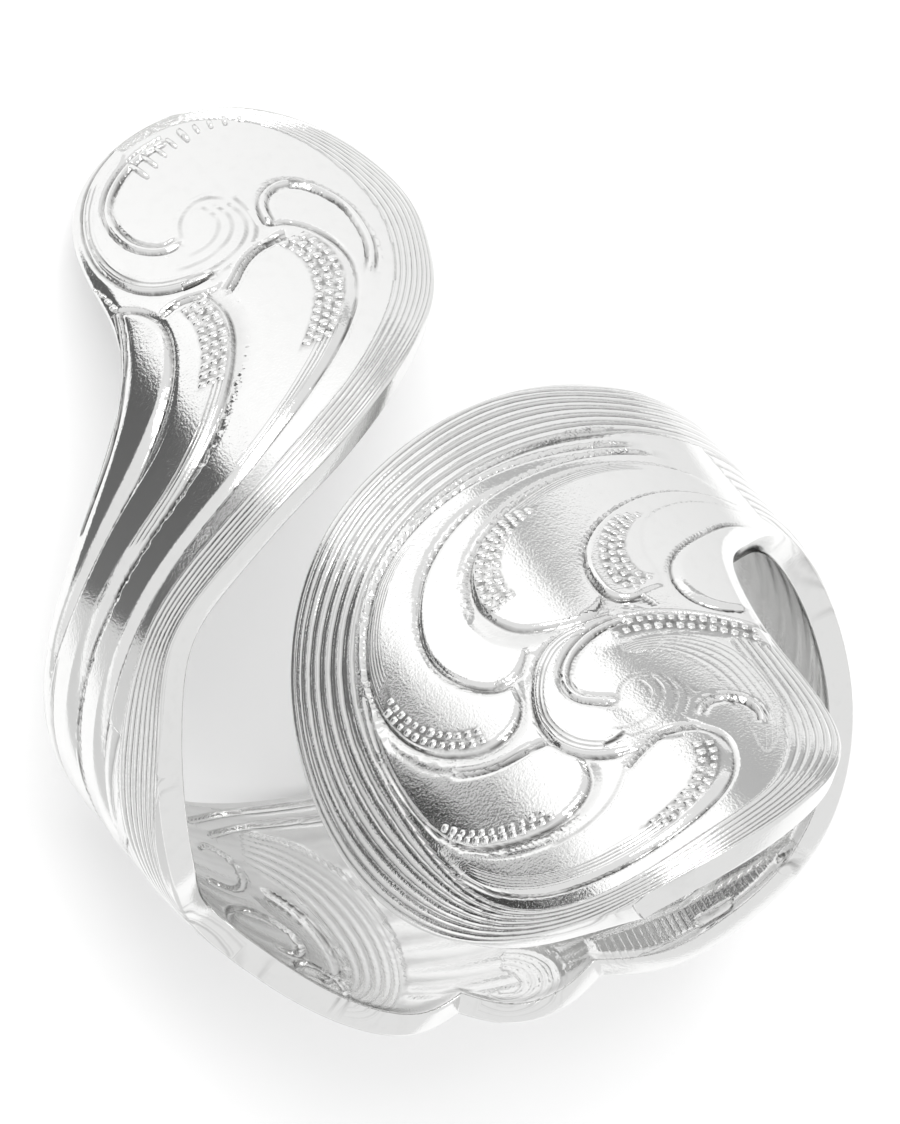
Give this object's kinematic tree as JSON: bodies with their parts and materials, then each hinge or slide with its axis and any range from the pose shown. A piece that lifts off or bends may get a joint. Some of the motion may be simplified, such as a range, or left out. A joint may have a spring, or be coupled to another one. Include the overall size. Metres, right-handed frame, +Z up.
{
  "type": "wrap ring",
  "caption": "Open wrap ring: an ornamented silver strip wound past a full turn round the finger, its ends widened to round discs with raised scrolls and plumes.",
  "frame": {"origin": "on the floor, at the middle of the ring's bounding box", "axes": "+Z up, with the ring lying as it rests by itself; the finger hole leans from +Z towards -X, and both discs are on the +X side, the large one uppermost"},
  "size_m": [0.0268, 0.0202, 0.0286],
  "materials": {
    "polished_silver": "polished silver, darkened in the recesses of the relief"
  },
  "bodies": {
    "root": {"wrap_band": "polished_silver"}
  },
  "joints": []
}
